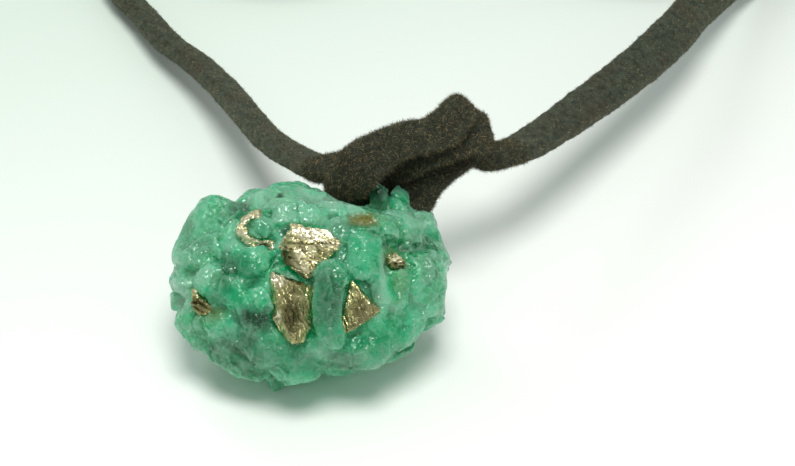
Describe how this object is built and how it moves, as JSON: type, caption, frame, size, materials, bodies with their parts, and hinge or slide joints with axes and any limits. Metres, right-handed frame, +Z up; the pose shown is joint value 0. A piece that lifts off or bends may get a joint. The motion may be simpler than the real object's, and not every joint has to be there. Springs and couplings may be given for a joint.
{
  "type": "emerald in matrix pendant",
  "caption": "Rough nugget of green emerald crystals grown together with brassy pyrite, drilled behind its top ridge and tied with a half knot on a flat brown suede lace.",
  "frame": {"origin": "centre of the nugget's box, on the surface that its flat base rests on", "axes": "+Z up, +X along the nugget's longest side, -Y the side that the crystal face leans towards; the lace runs back towards +Y"},
  "size_m": [0.0824, 0.108, 0.0199],
  "materials": {
    "emerald": "translucent, waxy to frosty crystal faces",
    "pyrite": "metallic brassy crystal faces",
    "suede": "napped suede"
  },
  "bodies": {
    "root": {"emerald": "emerald", "pyrite_upper": "pyrite", "pyrite_lower": "pyrite", "pyrite_right": "pyrite", "pyrite_left": "pyrite", "pyrite_ring": "pyrite", "pyrite_specks": "pyrite", "cord_knot": "suede", "cord_left": "suede", "cord_right": "suede", "cord_coil_left": "suede", "cord_coil_right": "suede"}
  },
  "joints": []
}
